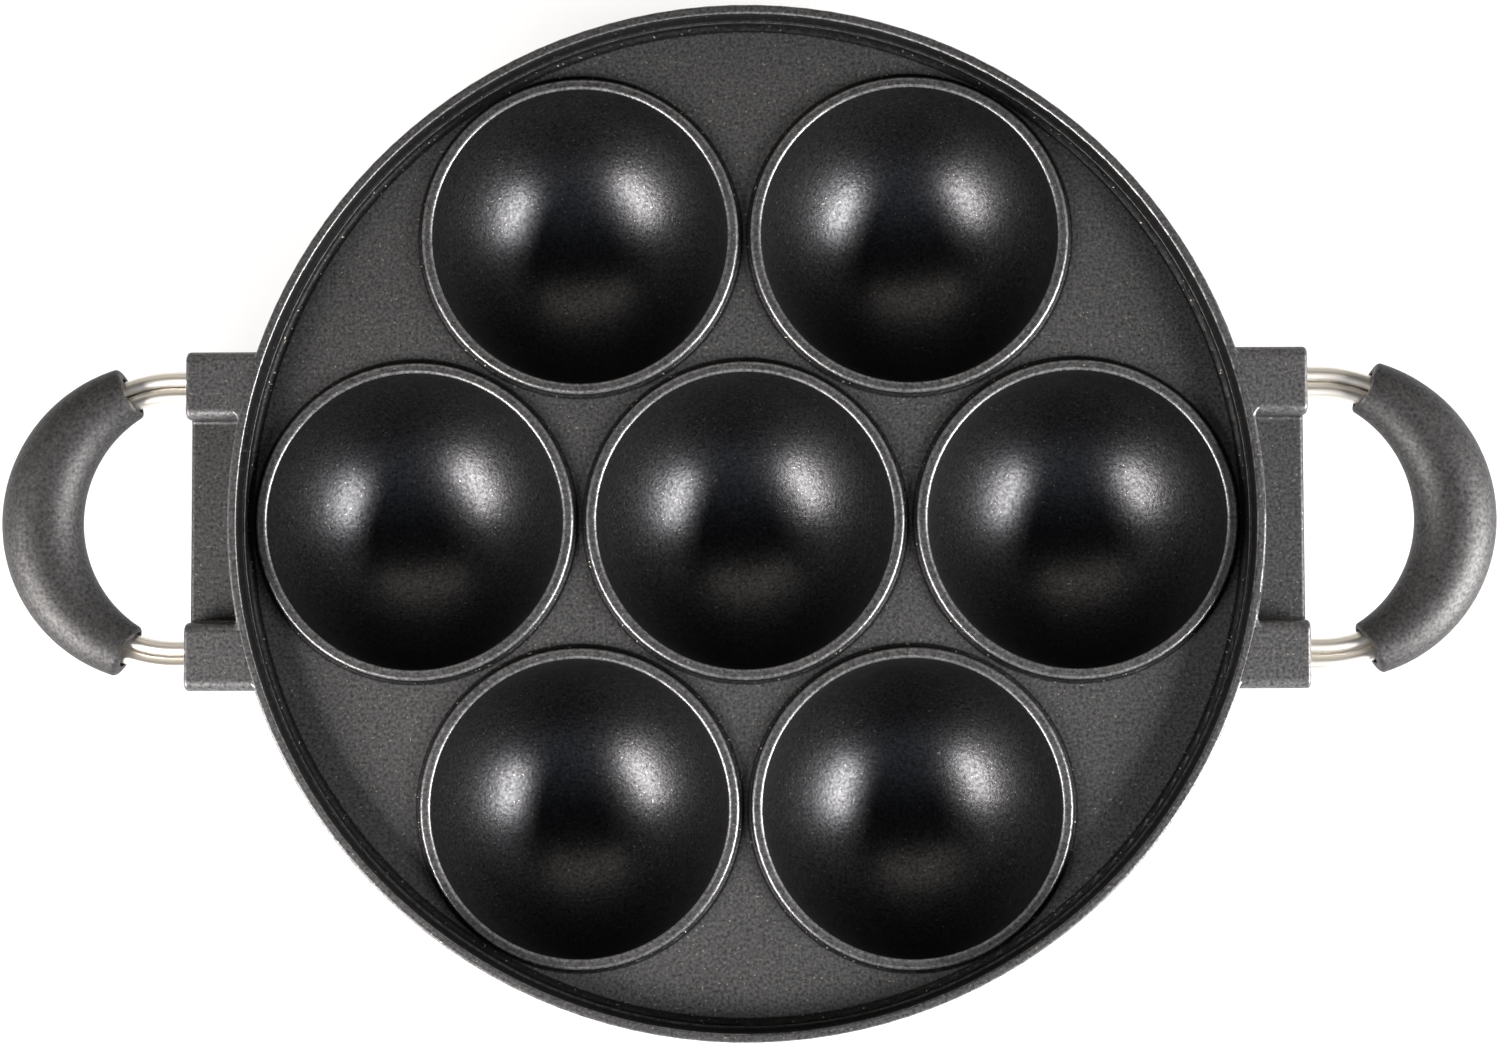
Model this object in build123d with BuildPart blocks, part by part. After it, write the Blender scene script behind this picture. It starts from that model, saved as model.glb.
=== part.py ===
from build123d import *
import os
from math import asin, cos, degrees, hypot, radians, sin, sqrt, tan

# Aebleskiver pan: one thick casting with seven round cups and a low rim, and on
# each side a fixed handle of two bent wires inside a soft hollow grip.
# Millimetres. The origin is on the surface that the pan stands on, under the
# centre cup. +X runs along both handles and +Z points up.

# Casting: plate and rim
pan_diameter = 230.0
rim_width = 2.1
rim_height = 8.0
rim_outer_round = 0.7
rim_inner_round = 0.5
rim_draft = 3.0
plate_thickness = 3.5
plate_corner_round = 2.0
shoulder_height = 2.5
shoulder_width = 0.5
shoulder_round = 0.2
wall_inner_lean = 0.4
plate_foot_round = 1.2

# Casting: cups, one in the middle and a ring of others round it. From the middle to the
# wall lie half of the middle cup and one whole cup, so three of a cup's radii.
cup_ring_count = 6
cup_radii_count = 3
cup_gap = 2.7
cup_wall_gap = 2.35
cup_depth = 32.0
cup_floor_thickness = 3.5
cup_wall = 3.0
cup_rim_width = 2.4
cup_rim_height = 2.0
cup_rim_inner_round = 0.7
cup_rim_outer_round = 0.7
cup_rim_cove = 0.9
cup_underside_cove = 1.1
cup_foot_diameter = 24.0
cup_foot_chamfer = 0.5

# Casting: handle lugs, each with two blocks and a low ledge between them
lug_overhang = 9.4
lug_height = 10.4
block_step = 0.05
lug_inner_reach = 24.0
leg_offset = 30.2
block_width = 15.3
block_draft = 2.0
block_round = 2.3
block_face_round = 0.9
ledge_drop = 6.5
lug_crevice_round = 0.9
lug_under_round = 1.2
lug_wall_round = 2.2

# Handle wires
wire_diameter = 3.5
wire_gap = 0.03
wire_drop = 5.5
wire_bend_start = 2.8
wire_bore_clearance = 0.05
wire_bore_depth = 12.5
wire_end_gap = 0.3
wire_end_chamfer = 0.4

# Slotted pins that hold the wires in the blocks
pin_diameter = 2.5
pin_wall = 0.5
pin_slot = 0.6
pin_length = 8.2
pin_recess = 0.3
pin_end_gap = 0.2
pin_clearance = 0.03
pin_set_back = 6.2
pin_chamfer = 0.2

# Grips
grip_width = 17.85
grip_outer_radius = 36.0
grip_inner_radius = 27.6
grip_height_share = 0.94
grip_mouth_angle = 70.2
grip_mouth_lean = 8.5
grip_mouth_round = 1.0
grip_section_count = 7
grip_bore_clearance = 0.05
mouth_pocket_width = 8.8
mouth_pocket_height = 6.6
mouth_pocket_depth = 4.0
mouth_scoop_radius = 5.2
mouth_scoop_depth = 0.8

# Modelling aids
overrun = 5.0
size_tolerance = 0.01
fillet_room_share = 0.85

# Heights and radii that follow
pan_radius = pan_diameter / 2
cup_mouth_z = cup_floor_thickness + cup_depth
plate_top = cup_mouth_z - cup_rim_height
plate_bottom = plate_top - plate_thickness
rim_top = plate_top + rim_height
rim_inner_radius = pan_radius - rim_width
wall_base_radius = pan_radius - (rim_top - plate_bottom) * tan(radians(rim_draft))
shoulder_z = plate_top + shoulder_height
shoulder_outer_radius = rim_inner_radius - wall_inner_lean
shoulder_inner_radius = shoulder_outer_radius - shoulder_width
cup_rim_radius = (shoulder_inner_radius - cup_wall_gap - cup_gap) / cup_radii_count
cup_pitch = 2 * cup_rim_radius + cup_gap
cup_mouth_radius = cup_rim_radius - cup_rim_width
bowl_radius = (cup_mouth_radius**2 + cup_depth**2) / (2 * cup_depth)
bowl_centre_z = cup_floor_thickness + bowl_radius
cup_outer_radius = bowl_radius + cup_wall
cup_foot_radius = cup_foot_diameter / 2
block_top = rim_top - block_step
lug_bottom = rim_top - lug_height
lug_face = pan_radius + lug_overhang
lug_seat_radius = pan_radius - rim_width / 2
ledge_top = rim_top - ledge_drop
root_top = block_top - block_step
root_bottom = lug_bottom + lug_under_round
root_radius = pan_radius - block_step
wire_z = rim_top - wire_drop
wire_radius = wire_diameter / 2
wire_spread = wire_radius + wire_gap / 2
wire_bend_x = lug_face + wire_bend_start
wire_end_x = lug_face - wire_bore_depth + wire_end_gap
pin_x = lug_face - pin_set_back
pin_radius = pin_diameter / 2
pin_places = [(pin_x, leg_offset), (pin_x, -leg_offset)]
grip_outer_apex = wire_bend_x + leg_offset + grip_width / 2
grip_inner_apex = grip_outer_apex - grip_width
grip_bore_width = 2 * wire_diameter + wire_gap + 2 * grip_bore_clearance
grip_bore_height = wire_diameter + 2 * grip_bore_clearance

plate_middle = (plate_top + plate_bottom) / 2
quarter_turn = 90
half_turn = 180
both_sides = (1, -1)
cup_foot_angle = degrees(asin(cup_foot_radius / cup_outer_radius)) - quarter_turn
cup_plate_angle = -degrees(asin((bowl_centre_z - plate_middle) / cup_outer_radius))
cup_mouth_angle = -degrees(asin((bowl_centre_z - cup_mouth_z) / bowl_radius))
cup_underside_radius = sqrt(cup_outer_radius**2 - (bowl_centre_z - plate_bottom) ** 2)
rim_cove_room = min(cup_gap / 2, cup_wall_gap - plate_foot_round)
rim_cove = min(cup_rim_cove, fillet_room_share * rim_cove_room)
underside_cove_room = cup_pitch / 2 - cup_underside_radius
underside_cove = min(cup_underside_cove, fillet_room_share * underside_cove_room)
cup_places = [(0, 0)] + [
    (
        cup_pitch * cos(radians(place * 2 * half_turn / cup_ring_count)),
        cup_pitch * sin(radians(place * 2 * half_turn / cup_ring_count)),
    )
    for place in range(cup_ring_count)
]
block_slope = tan(radians(block_draft))
block_outer_y = leg_offset + block_width / 2
block_inner_y = leg_offset - block_width / 2
block_flat_width = block_width - 2 * (block_round - rim_outer_round)
block_places = [
    (side * lug_seat_radius, leg * leg_offset) for side in both_sides for leg in both_sides
]
grip_section_turn = 2 * (grip_mouth_angle + grip_mouth_lean) / (grip_section_count - 1)

os.makedirs("parts", exist_ok=True)


def save(part, name):
    """Name a finished piece and write its file."""
    part.label = name
    export_step(part, f"parts/{name}.step")


def save_pair(right_part, name):
    """Write a piece of the right handle, and its half-turned copy for the left one."""
    with BuildPart() as left:
        add(right_part, rotation=(0, 0, half_turn))
    save(right_part, f"right_{name}")
    save(left.part, f"left_{name}")


def corner(outline, across, up):
    """The corner of a flat outline nearest to a point."""
    return outline.vertices().sort_by_distance((across, up))[0]


def rings(solid, radius, height):
    """The round level edges of one radius at one height."""
    return solid.edges().filter_by(GeomType.CIRCLE).filter_by(
        lambda edge: abs(edge.radius - radius) < size_tolerance
        and abs(edge.center().Z - height) < size_tolerance
    )


# Lug on the right: one outline seen along the handle, with its face edges rounded.
with BuildPart() as lug:
    with BuildSketch(Plane.YZ.offset(lug_face)) as lug_section:
        with BuildLine() as half:
            Polyline(
                (0, lug_bottom),
                (block_outer_y - lug_height * block_slope, lug_bottom),
                (block_outer_y, block_top),
                (block_inner_y, block_top),
                (block_inner_y + ledge_drop * block_slope, ledge_top),
                (0, ledge_top),
            )
            mirror(about=Plane.YZ)
        make_face()
        for side in both_sides:
            for block_y in (block_outer_y, block_inner_y):
                fillet(corner(lug_section, side * block_y, block_top), block_round)
            fillet(corner(lug_section, side * block_inner_y, ledge_top), lug_crevice_round)
            fillet(corner(lug_section, side * block_outer_y, lug_bottom), lug_under_round)
    extrude(amount=-lug_inner_reach)
    fillet(lug.faces().sort_by(Axis.X)[-1].edges(), block_face_round)
    with BuildSketch(Plane.XY.offset(lug_bottom)):
        Circle(lug_seat_radius)
    extrude(amount=lug_height, mode=Mode.SUBTRACT)

# Roots of the lugs: the pan's outline with the flat tops of the blocks, rounded where they
# meet. It lies a step inside the wall and the blocks, and shows only in their corners.
with BuildPart() as lug_roots:
    with BuildSketch(Plane.XY.offset(root_top)) as root_plan:
        Circle(root_radius)
        with Locations(*block_places):
            Rectangle(2 * (lug_overhang - block_face_round), block_flat_width)
        on_wall = root_plan.vertices().filter_by(
            lambda point: abs(hypot(point.X, point.Y) - root_radius) < size_tolerance
        )
        fillet(on_wall, lug_wall_round)
    extrude(amount=root_bottom - root_top, taper=rim_draft)
    fillet(lug_roots.faces().sort_by(Axis.Z)[-1].edges(), rim_outer_round)

# One cup as a solid bowl body with its flat foot and its rim.
with BuildPart() as cup_body:
    with BuildSketch(Plane.XZ) as cup_section:
        with BuildLine():
            bowl = CenterArc(
                (0, bowl_centre_z),
                cup_outer_radius,
                cup_foot_angle,
                cup_plate_angle - cup_foot_angle,
            )
            Polyline(
                bowl @ 0,
                (cup_foot_radius, 0),
                (0, 0),
                (0, cup_mouth_z),
                (cup_rim_radius, cup_mouth_z),
                (cup_rim_radius, plate_middle),
                bowl @ 1,
            )
        make_face()
        chamfer(corner(cup_section, cup_foot_radius, 0), cup_foot_chamfer)
    revolve(axis=Axis.Z)

# The hollow of one cup, a ball cut off a little below its middle.
with BuildPart() as cup_hollow:
    with BuildSketch(Plane.XZ):
        with BuildLine():
            hollow = CenterArc(
                (0, bowl_centre_z), bowl_radius, -quarter_turn, cup_mouth_angle + quarter_turn
            )
            Polyline(
                hollow @ 1,
                (cup_mouth_radius, cup_mouth_z + overrun),
                (0, cup_mouth_z + overrun),
                hollow @ 0,
            )
        make_face()
    revolve(axis=Axis.Z)

# The casting: a blank with its lugs, the pan's recess, then the cups.
with BuildPart() as pan_casting:
    with BuildSketch(Plane.XZ) as blank_section:
        with BuildLine():
            Polyline(
                (0, plate_bottom),
                (wall_base_radius, plate_bottom),
                (pan_radius, rim_top),
                (0, rim_top),
                close=True,
            )
        make_face()
        fillet(corner(blank_section, pan_radius, rim_top), rim_outer_round)
        fillet(corner(blank_section, wall_base_radius, plate_bottom), plate_corner_round)
    revolve(axis=Axis.Z)
    with PolarLocations(0, len(both_sides)):
        add(lug.part)
    add(lug_roots.part)
    with BuildSketch(Plane.XZ) as recess_section:
        with BuildLine():
            Polyline(
                (0, plate_top),
                (shoulder_inner_radius, plate_top),
                (shoulder_inner_radius, shoulder_z),
                (shoulder_outer_radius, shoulder_z),
                (rim_inner_radius, rim_top),
                (rim_inner_radius, rim_top + overrun),
                (0, rim_top + overrun),
                close=True,
            )
        make_face()
        fillet(corner(recess_section, shoulder_inner_radius, plate_top), plate_foot_round)
        fillet(corner(recess_section, shoulder_inner_radius, shoulder_z), shoulder_round)
    revolve(axis=Axis.Z, mode=Mode.SUBTRACT)
    fillet(rings(pan_casting, rim_inner_radius, rim_top), rim_inner_round)
    with Locations(*cup_places):
        add(cup_body.part)
    with Locations(*cup_places):
        add(cup_hollow.part, mode=Mode.SUBTRACT)
    fillet(rings(pan_casting, cup_mouth_radius, cup_mouth_z), cup_rim_inner_round)
    fillet(rings(pan_casting, cup_rim_radius, cup_mouth_z), cup_rim_outer_round)
    fillet(rings(pan_casting, cup_rim_radius, plate_top), rim_cove)
    fillet(rings(pan_casting, cup_underside_radius, plate_bottom), underside_cove)
    for side in both_sides:
        for leg in both_sides:
            for step in both_sides:
                bore_y = leg * leg_offset + step * wire_spread
                face = Plane(origin=(side * lug_face, bore_y, wire_z), z_dir=(side, 0, 0))
                with Locations(face.location):
                    Hole(wire_radius + wire_bore_clearance, wire_bore_depth)
            under = Plane(origin=(side * pin_x, leg * leg_offset, lug_bottom), z_dir=(0, 0, -1))
            with Locations(under.location):
                Hole(pin_radius + pin_clearance, pin_recess + pin_length + pin_end_gap)
save(pan_casting.part, "pan_casting")


def bent_wire(bend_radius):
    """One wire of the right handle: a leg, a half turn and a leg, notched for its pins."""
    with BuildPart() as wire:
        with BuildLine(Plane.XY.offset(wire_z)) as path:
            Line((wire_end_x, bend_radius), (wire_bend_x, bend_radius))
            CenterArc((wire_bend_x, 0), bend_radius, quarter_turn, -half_turn)
            Line((wire_bend_x, -bend_radius), (wire_end_x, -bend_radius))
        with BuildSketch(Plane(origin=path.line @ 0, z_dir=path.line % 0)):
            Circle(wire_radius)
        sweep(path=path.line)
        chamfer(wire.faces().filter_by(GeomType.PLANE).edges(), wire_end_chamfer)
        with BuildSketch(Plane.XY.offset(lug_bottom)):
            with Locations(*pin_places):
                Circle(pin_radius + pin_clearance)
        extrude(amount=lug_height, mode=Mode.SUBTRACT)
    return wire.part


# Wires: an outer and an inner one side by side in each handle.
for wire_name, step in (("outer_wire", 1), ("inner_wire", -1)):
    save_pair(bent_wire(leg_offset + step * wire_spread), wire_name)


def grip_plane(turn, lean=0):
    """A plane across the wires' bend, turned round the bend's centre from the grip's middle."""
    along = radians(turn + quarter_turn + lean)
    return Plane(
        origin=(
            wire_bend_x + leg_offset * cos(radians(turn)),
            leg_offset * sin(radians(turn)),
            wire_z,
        ),
        x_dir=(sin(along), -cos(along), 0),
        z_dir=(cos(along), sin(along), 0),
    )


def ray_to_circle(turn, centre_x, radius):
    """How far a ray from the bend's centre runs to a circle centred on the handle's line."""
    offset = centre_x - wire_bend_x
    across = offset * sin(radians(turn))
    return offset * cos(radians(turn)) + sqrt(radius**2 - across**2)


def grip_section(turn):
    """The grip's oval at one turn of the bend, between its outer and inner outline arcs."""
    outer = ray_to_circle(turn, grip_outer_apex - grip_outer_radius, grip_outer_radius)
    inner = ray_to_circle(turn, grip_inner_apex - grip_inner_radius, grip_inner_radius)
    with BuildSketch(grip_plane(turn)) as oval:
        with Locations(((outer + inner) / 2 - leg_offset, 0)):
            Ellipse((outer - inner) / 2, grip_height_share * (outer - inner) / 2)
    return oval.sketch


# Grip: a soft sleeve over both wires, hollow right through, with open scooped mouths.
with BuildPart() as grip:
    half_count = (grip_section_count - 1) // 2
    turns = [step * grip_section_turn for step in range(-half_count, half_count + 1)]
    loft([grip_section(turn) for turn in turns])
    for side in both_sides:
        mouth = grip_plane(side * grip_mouth_angle, -side * grip_mouth_lean)
        split(bisect_by=mouth, keep=Keep.BOTTOM if side > 0 else Keep.TOP)
    mouths = grip.faces().filter_by(GeomType.PLANE)
    fillet(mouths.edges(), grip_mouth_round)
    with BuildSketch(Plane.XZ):
        with Locations((wire_bend_x + leg_offset, wire_z)):
            SlotOverall(grip_bore_width, grip_bore_height)
    revolve(axis=Axis((wire_bend_x, 0, 0), (0, 0, 1)), mode=Mode.SUBTRACT)
    for side in both_sides:
        with BuildSketch(grip_plane(side * grip_mouth_angle)):
            SlotOverall(mouth_pocket_width, mouth_pocket_height)
        extrude(amount=mouth_pocket_depth, both=True, mode=Mode.SUBTRACT)
        mouth = grip_plane(side * grip_mouth_angle, -side * grip_mouth_lean)
        scoop = mouth.origin + mouth.z_dir * side * (mouth_scoop_radius - mouth_scoop_depth)
        with BuildSketch(Plane.XY.offset(wire_z)):
            with Locations((scoop.X, scoop.Y)):
                Circle(mouth_scoop_radius)
        extrude(amount=grip_width, both=True, mode=Mode.SUBTRACT)
save_pair(grip.part, "grip")

# Slotted spring pins: one in each block, standing in the notches between its two wires.
with BuildPart() as locking_pins:
    with BuildSketch(Plane.XY.offset(lug_bottom + pin_recess)):
        with Locations(*pin_places):
            Circle(pin_radius)
    extrude(amount=pin_length)
    chamfer(locking_pins.faces().filter_by(Axis.Z).edges(), pin_chamfer)
    with BuildSketch(Plane.XY.offset(lug_bottom)):
        with Locations(*pin_places):
            Circle(pin_radius - pin_wall)
            Rectangle(pin_radius, pin_slot, align=(Align.MIN, Align.CENTER))
    extrude(amount=lug_height, mode=Mode.SUBTRACT)
save_pair(locking_pins.part, "locking_pins")
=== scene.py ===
"""Looks of a round seven-cup pan with two looped wire handles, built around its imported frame."""

import logging
import math
from dataclasses import dataclass, field
from enum import Enum
from typing import Sequence, Union

import bpy
from mathutils import Matrix, Vector

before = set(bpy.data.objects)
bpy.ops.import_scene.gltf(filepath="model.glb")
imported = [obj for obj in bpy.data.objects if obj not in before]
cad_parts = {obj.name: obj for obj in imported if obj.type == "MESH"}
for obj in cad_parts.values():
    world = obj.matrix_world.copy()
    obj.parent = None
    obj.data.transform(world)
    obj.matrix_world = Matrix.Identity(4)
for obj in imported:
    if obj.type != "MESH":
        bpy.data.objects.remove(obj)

log = logging.getLogger("pan")

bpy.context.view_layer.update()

Colour = tuple[float, float, float]
Paint = tuple[float, float, float, float]
Socket = bpy.types.NodeSocket
SocketOrNumber = Union[Socket, float]
SocketOrPaint = Union[Socket, Paint]

WHITE = (1.0, 1.0, 1.0)


def opaque(colour: Colour) -> Paint:
    """The colour with full cover."""
    return (*colour, 1.0)


class Side(Enum):
    """The two handles of the pan, by the sign of their X."""

    RIGHT = 1
    LEFT = -1

    @property
    def word(self) -> str:
        """The side's name as the frame's nodes spell it."""
        return self.name.lower()


# Shared shader groups


def new_group(
    name: str, inputs: Sequence[tuple[str, str, float | Colour]], outputs: Sequence[tuple[str, str]]
) -> tuple[bpy.types.NodeTree, bpy.types.Node, bpy.types.Node]:
    """Starts a shader group with named sockets.

    Args:
        name: the group's name.
        inputs: socket name, socket type and default value of each input.
        outputs: socket name and socket type of each output.

    Returns:
        The group's tree with its input and output nodes.
    """
    tree = bpy.data.node_groups.new(name, "ShaderNodeTree")
    for socket_name, socket_type, value in inputs:
        socket = tree.interface.new_socket(socket_name, in_out="INPUT", socket_type=socket_type)
        socket.default_value = value
    for socket_name, socket_type in outputs:
        tree.interface.new_socket(socket_name, in_out="OUTPUT", socket_type=socket_type)
    return tree, tree.nodes.new("NodeGroupInput"), tree.nodes.new("NodeGroupOutput")


@dataclass(frozen=True)
class NoiseForm:
    """How finely a noise is broken up and how rough its detail is."""

    detail: float
    roughness: float


class Network:
    """A short hand for adding and joining nodes in one tree."""

    def __init__(self, tree: bpy.types.NodeTree) -> None:
        """Keeps the tree that the nodes go into."""
        self.tree = tree

    def node(self, kind: str, **settings: object) -> bpy.types.Node:
        """Adds a node.

        Args:
            kind: the node's type.
            settings: the properties to set on it.

        Returns:
            The new node.
        """
        made = self.tree.nodes.new(kind)
        for name, value in settings.items():
            setattr(made, name, value)
        return made

    def join(self, source: Socket, target: Socket) -> None:
        """Links one socket to another."""
        self.tree.links.new(source, target)

    def feed(self, given: Union[SocketOrNumber, SocketOrPaint], target: Socket) -> None:
        """Links a socket to another, or writes a plain value on it.

        Args:
            given: the socket or the value.
            target: the socket that takes it.
        """
        if isinstance(given, bpy.types.NodeSocket):
            self.join(given, target)
        else:
            target.default_value = given

    def math(
        self, operation: str, first: SocketOrNumber, second: SocketOrNumber | None = None
    ) -> Socket:
        """Adds a Math node fed by sockets or numbers.

        Args:
            operation: the Math node's operation.
            first: a socket or a number.
            second: a socket, a number or nothing.

        Returns:
            The node's value socket.
        """
        made = self.node("ShaderNodeMath", operation=operation)
        self.feed(first, made.inputs[0])
        if second is not None:
            self.feed(second, made.inputs[1])
        return made.outputs[0]

    def ramp(self, value: Socket, low: float, high: float) -> Socket:
        """Maps a value from between low and high to between 0 and 1, clamped and smooth.

        Args:
            value: the value.
            low: where the ramp starts.
            high: where it ends.

        Returns:
            The ramp's value.
        """
        made = self.node("ShaderNodeMapRange", interpolation_type="SMOOTHSTEP")
        self.join(value, made.inputs["Value"])
        made.inputs["From Min"].default_value = low
        made.inputs["From Max"].default_value = high
        return made.outputs["Result"]

    def band(self, value: Socket, low: float, high: float, blend: float) -> Socket:
        """Marks the values between low and high.

        Args:
            value: the value.
            low: the lower end.
            high: the upper end.
            blend: the width over which the mark fades at each end.

        Returns:
            The mask.
        """
        begun = self.ramp(value, low - blend / 2, low + blend / 2)
        ended = self.ramp(value, high - blend / 2, high + blend / 2)
        return self.math("SUBTRACT", begun, ended)

    def either(self, masks: Sequence[Socket]) -> Socket:
        """Joins masks into one that shows where any of them does.

        Args:
            masks: the masks.

        Returns:
            The joined mask.
        """
        joined = masks[0]
        for mask in masks[1:]:
            joined = self.math("MAXIMUM", joined, mask)
        return joined

    def between(self, mask: Socket, off: float, on: float) -> Socket:
        """Turns a mask into a value that runs from off to on."""
        return self.math("ADD", self.math("MULTIPLY", mask, on - off), off)

    def noise(self, vector: Socket, scale: SocketOrNumber, form: NoiseForm) -> Socket:
        """Adds a Noise texture.

        Args:
            vector: the coordinates.
            scale: the noise's scale.
            form: its detail and roughness.

        Returns:
            The noise's value.
        """
        made = self.node("ShaderNodeTexNoise")
        self.join(vector, made.inputs["Vector"])
        self.feed(scale, made.inputs["Scale"])
        made.inputs["Detail"].default_value = form.detail
        made.inputs["Roughness"].default_value = form.roughness
        return made.outputs["Fac"]

    def mix_value(self, mask: Socket, plain: SocketOrNumber, marked: SocketOrNumber) -> Socket:
        """Mixes two values by a mask.

        Args:
            mask: where the second value shows.
            plain: the value outside the mask.
            marked: the value inside it.

        Returns:
            The mixed value.
        """
        made = self.node("ShaderNodeMix", data_type="FLOAT")
        self.join(mask, made.inputs[0])
        self.feed(plain, made.inputs[2])
        self.feed(marked, made.inputs[3])
        return made.outputs[0]

    def multiply_colour(self, shade: Socket, colour: Union[Socket, Colour]) -> Socket:
        """Multiplies a colour by a grey shade.

        Args:
            shade: the shade.
            colour: the colour.

        Returns:
            The shaded colour.
        """
        made = self.node("ShaderNodeVectorMath", operation="SCALE")
        self.feed(colour, made.inputs[0])
        self.join(shade, made.inputs["Scale"])
        return made.outputs["Vector"]

    def mix_colour(self, mask: Socket, plain: SocketOrPaint, marked: SocketOrPaint) -> Socket:
        """Mixes two colours by a mask.

        Args:
            mask: where the second colour shows.
            plain: the colour outside the mask.
            marked: the colour inside it.

        Returns:
            The mixed colour.
        """
        made = self.node("ShaderNodeMix", data_type="RGBA")
        self.join(mask, made.inputs["Factor"])
        for name, given in (("A", plain), ("B", marked)):
            self.feed(given, next(s for s in made.inputs if s.name == name and s.type == "RGBA"))
        return next(s for s in made.outputs if s.type == "RGBA")


def cleared(owner: bpy.types.Material | bpy.types.World) -> Network:
    """Gives a material or a world an empty tree of nodes.

    Args:
        owner: the material or the world.

    Returns:
        The network of its tree.
    """
    owner.use_nodes = True
    owner.node_tree.nodes.clear()
    return Network(owner.node_tree)


GRAIN_FORM = NoiseForm(1.5, 0.5)
MOTTLE_FORM = NoiseForm(3.0, 0.55)
SPECK_FORM = NoiseForm(1.0, 0.4)
STREAK_FORM = NoiseForm(2.0, 0.5)
SPECK_BLEND = 0.04
MIDDLE_OF_NOISE = 0.5
DARKEST_SHADE = 0.1


def grain_group() -> bpy.types.NodeTree:
    """Fine grain of a coated or moulded surface.

    Returns:
        A group that puts out a shade round 1 to multiply a colour by, the grain's height
        and a mask of bright specks.
    """
    tree, given, out = new_group(
        "fine_grain",
        [
            ("Vector", "NodeSocketVector", (0.0, 0.0, 0.0)),
            ("Grain Scale", "NodeSocketFloat", 1300.0),
            ("Grain Contrast", "NodeSocketFloat", 1.5),
            ("Mottle Scale", "NodeSocketFloat", 45.0),
            ("Mottle Contrast", "NodeSocketFloat", 0.3),
            ("Speck Scale", "NodeSocketFloat", 900.0),
            ("Speck Level", "NodeSocketFloat", 0.7),
        ],
        [("Shade", "NodeSocketFloat"), ("Height", "NodeSocketFloat"), ("Specks", "NodeSocketFloat")],
    )
    net = Network(tree)
    vector = given.outputs["Vector"]
    grain = net.noise(vector, given.outputs["Grain Scale"], GRAIN_FORM)
    mottle = net.noise(vector, given.outputs["Mottle Scale"], MOTTLE_FORM)
    off_grain = net.math("SUBTRACT", grain, MIDDLE_OF_NOISE)
    off_mottle = net.math("SUBTRACT", mottle, MIDDLE_OF_NOISE)
    light = net.math("MULTIPLY", off_grain, given.outputs["Grain Contrast"])
    patch = net.math("MULTIPLY", off_mottle, given.outputs["Mottle Contrast"])
    shade = net.math("ADD", net.math("ADD", light, patch), 1.0)
    speck = net.noise(vector, given.outputs["Speck Scale"], SPECK_FORM)
    over_level = net.math("SUBTRACT", speck, given.outputs["Speck Level"])
    specks = net.ramp(over_level, 0.0, SPECK_BLEND)
    net.join(net.math("MAXIMUM", shade, DARKEST_SHADE), out.inputs["Shade"])
    net.join(grain, out.inputs["Height"])
    net.join(specks, out.inputs["Specks"])
    return tree


# Finishes


@dataclass(frozen=True)
class Finish:
    """A named surface finish with the values that its material is made of."""

    name: str
    colour: Colour
    roughness: float

    def material(self, grain: bpy.types.NodeTree) -> bpy.types.Material:
        """Leaves the building of the finish's material to each kind of finish, and raises here.

        Args:
            grain: the shared grain group, not used here.

        Returns:
            The finished material.
        """
        raise NotImplementedError

    def start(self) -> tuple[bpy.types.Material, Network, bpy.types.Node]:
        """Starts the material with its shader and its output joined.

        Returns:
            The material, its network and its shader.
        """
        made = bpy.data.materials.new(self.name)
        net = cleared(made)
        shader = net.node("ShaderNodeBsdfPrincipled")
        net.join(shader.outputs["BSDF"], net.node("ShaderNodeOutputMaterial").inputs["Surface"])
        shader.inputs["Base Color"].default_value = opaque(self.colour)
        shader.inputs["Roughness"].default_value = self.roughness
        return made, net, shader


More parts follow.
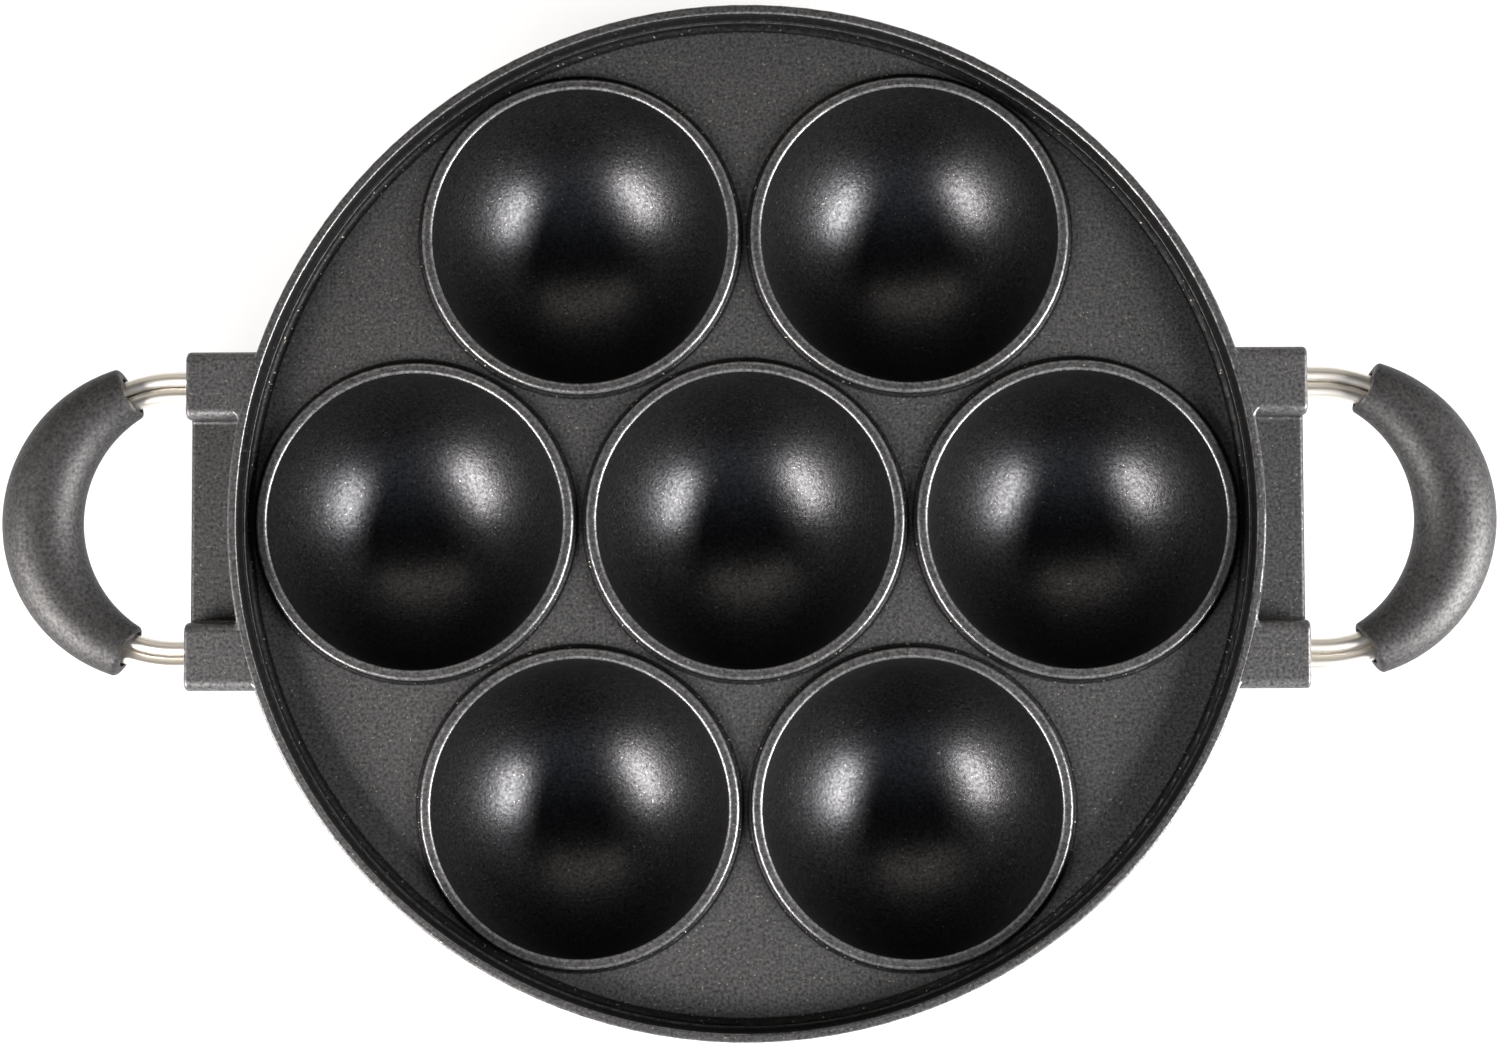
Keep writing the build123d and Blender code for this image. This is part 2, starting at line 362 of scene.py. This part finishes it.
@dataclass(frozen=True)
class GrainedFinish(Finish):
    """A dark moulded or coated surface with fine grain, slow mottling and a few bright specks."""

    grain_scale: float = 1300.0
    grain_contrast: float = 1.5
    grain_depth: float = 0.00004
    mottle_scale: float = 45.0
    mottle_contrast: float = 0.3
    speck_colour: Colour = (0.36, 0.33, 0.28)
    speck_share: float = 0.6
    speck_level: float = 0.72
    speck_scale: float = 1500.0
    metal: float = 0.0
    specular: float = 0.5

    def texture(self, net: Network, place: Socket, grain: bpy.types.NodeTree) -> bpy.types.Node:
        """Places the shared grain group with this finish's values.

        Args:
            net: the material's network.
            place: the object coordinates.
            grain: the shared grain group.

        Returns:
            The group's node.
        """
        made = net.node("ShaderNodeGroup", node_tree=grain)
        net.join(place, made.inputs["Vector"])
        for name, value in (
            ("Grain Scale", self.grain_scale),
            ("Grain Contrast", self.grain_contrast),
            ("Mottle Scale", self.mottle_scale),
            ("Mottle Contrast", self.mottle_contrast),
            ("Speck Scale", self.speck_scale),
            ("Speck Level", self.speck_level),
        ):
            made.inputs[name].default_value = value
        return made

    def grained(self, net: Network, texture: bpy.types.Node, colour: Union[Socket, Colour]) -> Socket:
        """Multiplies a colour by the grain's shade and adds the specks.

        Args:
            net: the material's network.
            texture: the grain group's node.
            colour: the colour.

        Returns:
            The grained colour.
        """
        shaded = net.multiply_colour(texture.outputs["Shade"], colour)
        specks = net.math("MULTIPLY", texture.outputs["Specks"], self.speck_share)
        return net.mix_colour(specks, shaded, opaque(self.speck_colour))

    def emboss(self, net: Network, shader: bpy.types.Node, texture: bpy.types.Node) -> None:
        """Turns the grain's height into the shader's normal.

        Args:
            net: the material's network.
            shader: the material's shader.
            texture: the grain group's node.
        """
        bump = net.node("ShaderNodeBump")
        bump.inputs["Strength"].default_value = 1.0
        bump.inputs["Distance"].default_value = self.grain_depth
        net.join(texture.outputs["Height"], bump.inputs["Height"])
        net.join(bump.outputs["Normal"], shader.inputs["Normal"])

    def material(self, grain: bpy.types.NodeTree) -> bpy.types.Material:
        """Builds the material from the shared grain group.

        Args:
            grain: the shared grain group.

        Returns:
            The finished material.
        """
        made, net, shader = self.start()
        place = net.node("ShaderNodeTexCoord").outputs["Object"]
        texture = self.texture(net, place, grain)
        net.join(self.grained(net, texture, self.colour), shader.inputs["Base Color"])
        shader.inputs["Metallic"].default_value = self.metal
        shader.inputs["Specular IOR Level"].default_value = self.specular
        self.emboss(net, shader, texture)
        return made


@dataclass(frozen=True)
class ZoneMasks:
    """Masks of the casting's zones: smooth bowls, edges lightened as worn coating and as painted
    highlight, and corners darkened as painted shade.
    """

    bowl: Socket
    edge: Socket
    corner_shade: Socket


@dataclass(frozen=True)
class CastingMeasures:
    """Where a place on the casting lies."""

    height: Socket
    pan_radius: Socket
    cup_radius: Socket
    from_bowl: Socket


@dataclass(frozen=True)
class CastingZones:
    """Where the casting is smooth, where its edges are lightened as thin coating and as painted
    highlight, and where its corners are darkened as painted shade.

    The radii and heights are the casting's own, in metres. Cup radii run from the middle
    of the nearest cup and pan radii from the middle of the pan.
    """

    cup_pitch: float = 0.074
    cup_count: int = 6
    bowl_centre: float = 0.03677
    bowl_end: float = 0.03335
    inner_edge_end: float = 0.03395
    outer_edge_start: float = 0.03492
    cup_side: float = 0.03570
    cove_end: float = 0.0367
    cup_side_top: float = 0.0347
    plate_top: float = 0.0335
    plate_end: float = 0.1104
    wall_top: float = 0.1129
    shoulder_bottom: float = 0.0357
    shoulder_top: float = 0.0362
    shoulder_share: float = 0.4
    rim_inner_edge_end: float = 0.1134
    rim_outer_edge_start: float = 0.1144
    rim_outer_edge_end: float = 0.1152
    rim_edge_bottom: float = 0.0406
    rim_top: float = 0.0415
    lug_edge_bottom: float = 0.0397
    # Share of the lighter edge coat painted on the lugs' roundings as a highlight.
    lug_highlight_share: float = 0.5
    fine_blend: float = 0.0001
    coarse_blend: float = 0.0005

    def masks(self, net: Network, place: Socket) -> ZoneMasks:
        """Adds the nodes that mark the zones.

        Args:
            net: the material's network.
            place: the object coordinates.

        Returns:
            The masks of the zones.
        """
        measures = self.measures(net, place)
        on_rings = net.ramp(measures.height, self.cup_side_top - self.fine_blend, self.cup_side_top)
        from_bowl = net.ramp(measures.from_bowl, self.bowl_end - self.fine_blend, self.bowl_end)
        bowl = net.math("SUBTRACT", 1.0, from_bowl)
        edges = [
            self.ring_edges(net, measures, on_rings),
            self.rim_edges(net, measures),
            self.lug_painted_highlights(net, measures),
        ]
        return ZoneMasks(bowl, net.either(edges), self.shaded_corners(net, measures, on_rings))

    def measures(self, net: Network, place: Socket) -> CastingMeasures:
        """Measures a place on the casting.

        Args:
            net: the material's network.
            place: the object coordinates.

        Returns:
            Its height, its radii and its distance from the nearest bowl's centre.
        """
        parts = net.node("ShaderNodeSeparateXYZ")
        net.join(place, parts.inputs["Vector"])
        height = parts.outputs["Z"]
        flat = net.node("ShaderNodeCombineXYZ")
        net.join(parts.outputs["X"], flat.inputs["X"])
        net.join(parts.outputs["Y"], flat.inputs["Y"])
        level_place = flat.outputs["Vector"]
        pan_radius = self.distance(net, level_place, (0.0, 0.0))
        cup_radius = pan_radius
        for number in range(self.cup_count):
            turn = 2 * math.pi * number / self.cup_count
            centre = (self.cup_pitch * math.cos(turn), self.cup_pitch * math.sin(turn))
            cup_radius = net.math("MINIMUM", cup_radius, self.distance(net, level_place, centre))
        level = net.math("SUBTRACT", height, self.bowl_centre)
        squares = net.math("ADD", net.math("POWER", cup_radius, 2.0), net.math("POWER", level, 2.0))
        return CastingMeasures(height, pan_radius, cup_radius, net.math("SQRT", squares))

    def ring_edges(self, net: Network, at: CastingMeasures, on_rings: Socket) -> Socket:
        """Marks the two edges of each cup's raised ring, which the lighter edge coat lightens as thin
        coating and as painted highlight.

        Args:
            net: the material's network.
            at: the measures of the place.
            on_rings: the mask of the heights at the rings' top.

        Returns:
            The mask.
        """
        inner_edge = net.band(at.from_bowl, self.bowl_end, self.inner_edge_end, self.fine_blend)
        outer_edge = net.band(at.cup_radius, self.outer_edge_start, self.cup_side, self.fine_blend)
        return net.math("MULTIPLY", net.either([inner_edge, outer_edge]), on_rings)

    def rim_edges(self, net: Network, at: CastingMeasures) -> Socket:
        """Marks the two edges of the pan's rim, which the lighter edge coat lightens as thin coating
        and as painted highlight.

        Args:
            net: the material's network.
            at: the measures of the place.

        Returns:
            The mask.
        """
        fine = self.fine_blend
        inner_edge = net.band(at.pan_radius, self.wall_top, self.rim_inner_edge_end, fine)
        outer_edge = net.band(at.pan_radius, self.rim_outer_edge_start, self.rim_outer_edge_end, fine)
        on_rim = net.band(at.height, self.rim_edge_bottom, self.rim_top - fine, fine)
        return net.math("MULTIPLY", net.either([inner_edge, outer_edge]), on_rim)

    def lug_painted_highlights(self, net: Network, at: CastingMeasures) -> Socket:
        """Marks the roundings of the lugs' blocks softly, where a highlight is painted in with the
        lighter edge coat.

        Args:
            net: the material's network.
            at: the measures of the place.

        Returns:
            The mask.
        """
        fine = self.fine_blend
        heights = net.band(at.height, self.lug_edge_bottom, self.rim_top - fine, self.coarse_blend)
        past_rim = net.ramp(at.pan_radius, self.rim_outer_edge_end, self.rim_outer_edge_end + fine)
        return net.math("MULTIPLY", net.math("MULTIPLY", heights, past_rim), self.lug_highlight_share)

    def shaded_corners(self, net: Network, at: CastingMeasures, on_rings: Socket) -> Socket:
        """Marks the coves round the rings and the rim's inner wall with its foot, where shade is
        painted in as a dark, dull coat.

        Args:
            net: the material's network.
            at: the measures of the place.
            on_rings: the mask of the heights at the rings' top.

        Returns:
            The mask.
        """
        fine, coarse = self.fine_blend, self.coarse_blend
        under_rings = net.math("SUBTRACT", 1.0, on_rings)
        cove = net.band(at.cup_radius, self.cup_side - fine, self.cove_end, coarse)
        cove = net.math("MULTIPLY", cove, under_rings)
        # Painted shade over the rim's inner wall, lighter on its shoulder.
        wall = net.band(at.pan_radius, self.plate_end, self.wall_top, coarse)
        shoulder = net.band(at.height, self.shoulder_bottom, self.shoulder_top, fine)
        wall = net.math("MULTIPLY", wall, net.between(shoulder, 1.0, self.shoulder_share))
        over_plate = net.ramp(at.height, self.plate_top - coarse, self.plate_top - coarse / 2)
        return net.math("MULTIPLY", net.either([cove, wall]), over_plate)

    def distance(self, net: Network, place: Socket, centre: tuple[float, float]) -> Socket:
        """Measures how far a place lies from an upright line.

        Args:
            net: the material's network.
            place: the place, at height zero.
            centre: the line's X and Y.

        Returns:
            The distance.
        """
        made = net.node("ShaderNodeVectorMath", operation="DISTANCE")
        net.join(place, made.inputs[0])
        made.inputs[1].default_value = (*centre, 0.0)
        return made.outputs["Value"]


@dataclass(frozen=True)
class Coat:
    """How the coating looks in one zone."""

    colour: Colour
    roughness: float
    metal: float


@dataclass(frozen=True)
class CastCoating(GrainedFinish):
    """Dark non-stick coating: grainy on the flats, smooth in the bowls, lighter over the edges as
    thin coating and as painted highlight, and darker in the corners as painted shade.

    Its flakes give it a dark metal's gloss, so that the grain shows in the highlights too.
    """

    metal: float = 0.82
    grain_scale: float = 1400.0
    grain_contrast: float = 2.4
    bowl: Coat = Coat((0.058, 0.0585, 0.0625), 0.33, 0.925)
    # Lighter coat over the edges: partly thin coating, partly a painted highlight.
    edge: Coat = Coat((0.15, 0.15, 0.155), 0.37, 0.72)
    # Painted shade: a dark, dull coat for the coves, the rim's inner wall and its foot.
    corner_shade: Coat = Coat((0.012, 0.012, 0.0124), 0.55, 0.9)
    bowl_contrast: float = 2.2
    zones: CastingZones = field(default_factory=CastingZones)

    def material(self, grain: bpy.types.NodeTree) -> bpy.types.Material:
        """Builds the material from the shared grain group and the casting's zones.

        Args:
            grain: the shared grain group.

        Returns:
            The finished material.
        """
        made, net, shader = self.start()
        place = net.node("ShaderNodeTexCoord").outputs["Object"]
        marks = self.zones.masks(net, place)
        texture = self.texture(net, place, grain)
        contrast = net.between(marks.bowl, self.grain_contrast, self.bowl_contrast)
        net.join(contrast, texture.inputs["Grain Contrast"])
        colour, level, metal = opaque(self.colour), self.roughness, self.metal
        # The corner coat paints shade; the edge coat paints highlights over the worn edges.
        coats = ((marks.corner_shade, self.corner_shade), (marks.bowl, self.bowl), (marks.edge, self.edge))
        for mask, coat in coats:
            colour = net.mix_colour(mask, colour, opaque(coat.colour))
            level = net.mix_value(mask, level, coat.roughness)
            metal = net.mix_value(mask, metal, coat.metal)
        net.join(self.grained(net, texture, colour), shader.inputs["Base Color"])
        net.join(level, shader.inputs["Roughness"])
        net.join(metal, shader.inputs["Metallic"])
        shader.inputs["Specular IOR Level"].default_value = self.specular
        self.emboss(net, shader, texture)
        return made


@dataclass(frozen=True)
class DrawnSteel(Finish):
    """Bright drawn wire with faint lengthwise streaks."""

    streak_scale: float = 900.0
    streak_stretch: float = 0.08
    streak_spread: float = 0.08

    def material(self, grain: bpy.types.NodeTree) -> bpy.types.Material:
        """Builds the material from stretched noise along the wire's legs.

        Args:
            grain: the shared grain group, which this finish has no use for.

        Returns:
            The finished material.
        """
        made, net, shader = self.start()
        place = net.node("ShaderNodeTexCoord")
        stretched = net.node("ShaderNodeMapping")
        stretched.inputs["Scale"].default_value = (self.streak_stretch, 1.0, 1.0)
        net.join(place.outputs["Object"], stretched.inputs["Vector"])
        streak = net.noise(stretched.outputs["Vector"], self.streak_scale, STREAK_FORM)
        spread = self.streak_spread / 2
        rough = net.between(streak, self.roughness - spread, self.roughness + spread)
        net.join(rough, shader.inputs["Roughness"])
        shader.inputs["Metallic"].default_value = 1.0
        return made


# The studio


@dataclass(frozen=True)
class Lamp:
    """One soft rectangular lamp that faces the pan's middle.

    The turn is its direction seen from above, from +X, and the tilt its angle from
    straight up, both in degrees. The rest is in metres and watts.
    """

    name: str
    turn: float
    tilt: float
    distance: float
    width: float
    height: float
    power: float
    colour: Colour = WHITE

    def hang(self) -> None:
        """Adds the lamp to the scene."""
        data = bpy.data.lights.new(self.name, "AREA")
        data.shape = "RECTANGLE"
        data.energy = self.power
        data.size = self.width
        data.size_y = self.height
        data.color = self.colour
        lamp = bpy.data.objects.new(self.name, data)
        bpy.context.scene.collection.objects.link(lamp)
        turn, tilt = math.radians(self.turn), math.radians(self.tilt)
        out = math.sin(tilt)
        away = Vector((math.cos(turn) * out, math.sin(turn) * out, math.cos(tilt)))
        lamp.location = away * self.distance
        lamp.rotation_euler = away.to_track_quat("Z", "Y").to_euler()


@dataclass
class Studio:
    """Floor, lamps, world and camera round the pan.

    The sky's ends are shares of a direction's Y or Z between which its light changes. The
    camera's turns are in degrees, and its other places in metres.
    """

    lamps: tuple[Lamp, ...] = (
        Lamp("right_softbox", -18.5, 66.3, 0.80, 0.46, 0.35, 22.8, (1.0, 0.975, 0.95)),
        Lamp("left_softbox", 211.3, 61.0, 0.69, 0.40, 0.28, 11.6, (1.0, 0.96, 0.92)),
        Lamp("back_softbox", 97.0, 55.0, 1.1, 1.25, 0.7, 2.4, (1.0, 0.92, 0.8)),
    )
    floor_half_side: float = 3.0
    floor_gap: float = 0.0002
    floor_colour: Colour = (0.3, 0.3, 0.3)
    floor_glow: float = 0.7
    sky_colour: Colour = (0.86, 0.9, 1.0)
    sky_front: float = 0.45
    sky_back: float = 0.03
    sky_horizon: float = 0.15
    sky_front_ends: tuple[float, float] = (-0.9, 0.1)
    sky_horizon_ends: tuple[float, float] = (0.0, 0.7)
    camera_turn: tuple[float, float, float] = (-3.003, -1.34, 0.152)
    camera_shift: tuple[float, float] = (-0.00112, 0.00112)
    camera_depth: float = 0.60234
    camera_plane: float = 0.0355
    focal_share: float = 1.8
    sensor: float = 36.0

    def build(self) -> None:
        """Builds the floor, the lamps, the world and the camera."""
        self.floor()
        self.world()
        for lamp in self.lamps:
            lamp.hang()
        self.camera()

    def floor(self) -> None:
        """Lays the pale floor, which keeps the pan's shadow and is clear from below."""
        bpy.ops.object.select_all(action="DESELECT")
        size, place = 2 * self.floor_half_side, (0, 0, -self.floor_gap)
        bpy.ops.mesh.primitive_plane_add(size=size, location=place)
        floor = bpy.context.object
        floor.name = "floor"
        made = bpy.data.materials.new("pale_floor")
        net = cleared(made)
        plain = net.node("ShaderNodeBsdfDiffuse")
        plain.inputs["Color"].default_value = opaque(self.floor_colour)
        glow = net.node("ShaderNodeEmission")
        net.join(self.seen(net), glow.inputs["Strength"])
        both = net.node("ShaderNodeAddShader")
        net.join(plain.outputs[0], both.inputs[0])
        net.join(glow.outputs[0], both.inputs[1])
        side = net.node("ShaderNodeNewGeometry")
        shown = net.node("ShaderNodeMixShader")
        net.join(side.outputs["Backfacing"], shown.inputs["Fac"])
        net.join(both.outputs[0], shown.inputs[1])
        net.join(net.node("ShaderNodeBsdfTransparent").outputs[0], shown.inputs[2])
        net.join(shown.outputs[0], net.node("ShaderNodeOutputMaterial").inputs["Surface"])
        floor.data.materials.append(made)

    def seen(self, net: Network) -> Socket:
        """Adds the floor's glow where the camera, gloss or glass looks at it.

        Args:
            net: the floor's network.

        Returns:
            The glow's strength, nothing for any other ray.
        """
        path = net.node("ShaderNodeLightPath")
        looked = net.math("MAXIMUM", path.outputs["Is Camera Ray"], path.outputs["Is Glossy Ray"])
        looked = net.math("MAXIMUM", looked, path.outputs["Is Transmission Ray"])
        return net.math("MULTIPLY", looked, self.floor_glow)

    def world(self) -> None:
        """Makes the world white to the camera, and a sky brighter low and in front to the pan."""
        world = bpy.data.worlds.new("studio")
        bpy.context.scene.world = world
        net = cleared(world)
        way = net.node("ShaderNodeTexCoord")
        split = net.node("ShaderNodeSeparateXYZ")
        net.join(way.outputs["Generated"], split.inputs["Vector"])
        backward = net.ramp(split.outputs["Y"], *self.sky_front_ends)
        upward = net.ramp(split.outputs["Z"], *self.sky_horizon_ends)
        sky = net.between(backward, self.sky_front, self.sky_back)
        sky = net.math("ADD", sky, net.between(upward, self.sky_horizon, 0.0))
        looked_at = net.node("ShaderNodeLightPath").outputs["Is Camera Ray"]
        strength = net.math("MAXIMUM", looked_at, sky)
        background = net.node("ShaderNodeBackground")
        colour = net.mix_colour(looked_at, opaque(self.sky_colour), opaque(WHITE))
        net.join(colour, background.inputs["Color"])
        net.join(strength, background.inputs["Strength"])
        net.join(background.outputs[0], net.node("ShaderNodeOutputWorld").inputs["Surface"])

    def camera(self) -> None:
        """Places the camera high over the pan, a little off square, as the photograph has it."""
        data = bpy.data.cameras.new("camera")
        data.sensor_width = self.sensor
        data.lens = self.focal_share * self.sensor
        camera = bpy.data.objects.new("camera", data)
        bpy.context.scene.collection.objects.link(camera)
        turned = Matrix.Identity(3)
        for axis, angle in zip("XYZ", self.camera_turn):
            turned = turned @ Matrix.Rotation(math.radians(angle), 3, axis)
        back = turned.transposed()
        eye = back @ Vector((-self.camera_shift[0], -self.camera_shift[1], self.camera_depth))
        eye += Vector((0, 0, self.camera_plane))
        camera.matrix_world = Matrix.Translation(eye) @ back.to_4x4()
        bpy.context.scene.camera = camera


# The pan


@dataclass
class Pan:
    """The finished pan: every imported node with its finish."""

    coating: Finish = CastCoating("cast_coating", (0.072, 0.072, 0.0735), 0.5)
    rubber: Finish = GrainedFinish(
        "grip_rubber",
        (0.053, 0.0525, 0.0535),
        0.57,
        grain_scale=1300.0,
        grain_contrast=2.0,
        mottle_contrast=0.15,
        speck_share=0.1,
        metal=0.85,
    )
    steel: Finish = DrawnSteel("drawn_steel", (0.83, 0.79, 0.73), 0.42)
    pin: Finish = DrawnSteel("pin_steel", (0.55, 0.55, 0.55), 0.35)

    def dress(self) -> None:
        """Gives each node its material."""
        grain = grain_group()
        kinds = (self.coating, self.rubber, self.steel, self.pin)
        made = {finish.name: finish.material(grain) for finish in kinds}
        finishes = {"pan_casting": self.coating}
        for side in Side:
            finishes[f"{side.word}_outer_wire"] = self.steel
            finishes[f"{side.word}_inner_wire"] = self.steel
            finishes[f"{side.word}_grip"] = self.rubber
            finishes[f"{side.word}_locking_pins"] = self.pin
        for name, finish in finishes.items():
            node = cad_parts[name]
            node.data.materials.clear()
            node.data.materials.append(made[finish.name])
            log.info("%s dressed in %s", name, finish.name)


def main() -> None:
    """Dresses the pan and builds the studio."""
    logging.basicConfig(level=logging.INFO, format="%(name)s: %(message)s")
    Pan().dress()
    Studio().build()
    scene = bpy.context.scene
    scene.view_settings.view_transform = "Standard"


if __name__ == "__main__":
    main()
